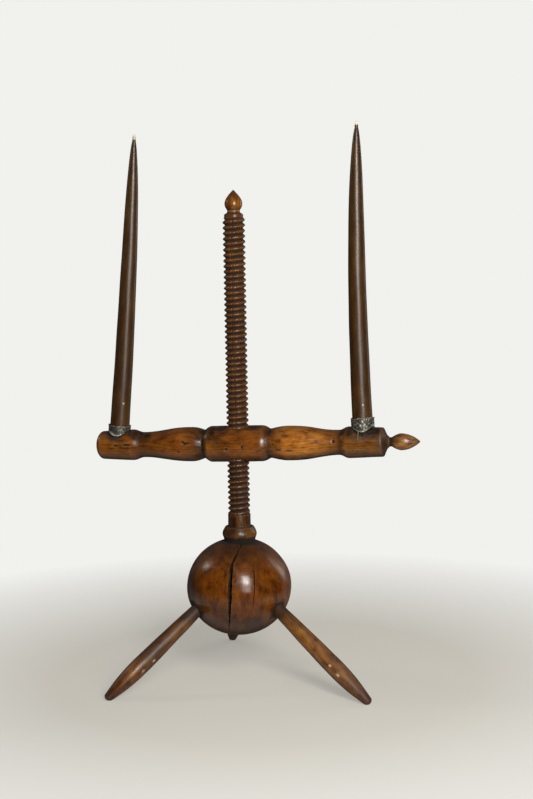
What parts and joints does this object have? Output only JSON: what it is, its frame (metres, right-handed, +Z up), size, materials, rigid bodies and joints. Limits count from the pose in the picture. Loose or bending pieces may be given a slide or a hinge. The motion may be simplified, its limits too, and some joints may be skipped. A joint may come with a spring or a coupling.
{
  "type": "candlestick",
  "caption": "Turned wooden candlestick: splayed legs and a ball carry a threaded post, on which a cross arm with metal candle cups screws up and down.",
  "frame": {"origin": "the middle of the footprint box of the whole object, at the level it stands on", "axes": "+Z up; +X along the cross arm at rest, towards the end with the finial; +Y towards the rear leg"},
  "size_m": [0.372, 0.2754, 0.6209],
  "materials": {
    "honey_wood": "old wax polish over honey-brown turned wood",
    "red_wood": "old wax polish over red-brown turned wood",
    "worn_wood": "cut thread with rubbed crests and dark valleys",
    "cup_metal": "dull grey soft sheet metal, dented and worn bright at its edges",
    "candle_wax": "dark brown dipped wax with a soft sheen",
    "wick_cotton": "unburnt cotton"
  },
  "bodies": {
    "base": {"ball": "honey_wood", "leg_left": "red_wood", "leg_right": "red_wood", "leg_rear": "red_wood", "screw_post": "worn_wood"},
    "turn_carrier": {"post_finial": "honey_wood"},
    "arm": {"cross_arm": "honey_wood", "arm_finial": "honey_wood", "candle_cup_left": "cup_metal", "candle_cup_right": "cup_metal"},
    "left_candle": {"candle_left": "candle_wax", "wick_left": "wick_cotton"},
    "right_candle": {"candle_right": "candle_wax", "wick_right": "wick_cotton"}
  },
  "joints": [
    {"name": "arm_turn", "type": "hinge", "parent": "base", "child": "turn_carrier", "pos_m": [-0.01969, -0.02727, 0.27], "axis": [0, 0, 1], "range_deg": [-3330, 13770]},
    {"name": "arm_rise", "type": "slide", "parent": "turn_carrier", "child": "arm", "axis": [0, 0, 1], "range_m": [-0.0556, 0.2296]},
    {"name": "candle_left_lift", "type": "slide", "parent": "arm", "child": "left_candle", "axis": [0.0976, 0, 0.9952], "range_m": [0, 0.05]},
    {"name": "candle_right_lift", "type": "slide", "parent": "arm", "child": "right_candle", "axis": [-0.0454, 0, 0.999], "range_m": [0, 0.05]}
  ],
  "couplings": [
    {"joint": "arm_rise", "follows": "arm_turn", "m_per_rad": 0.00095493}
  ]
}
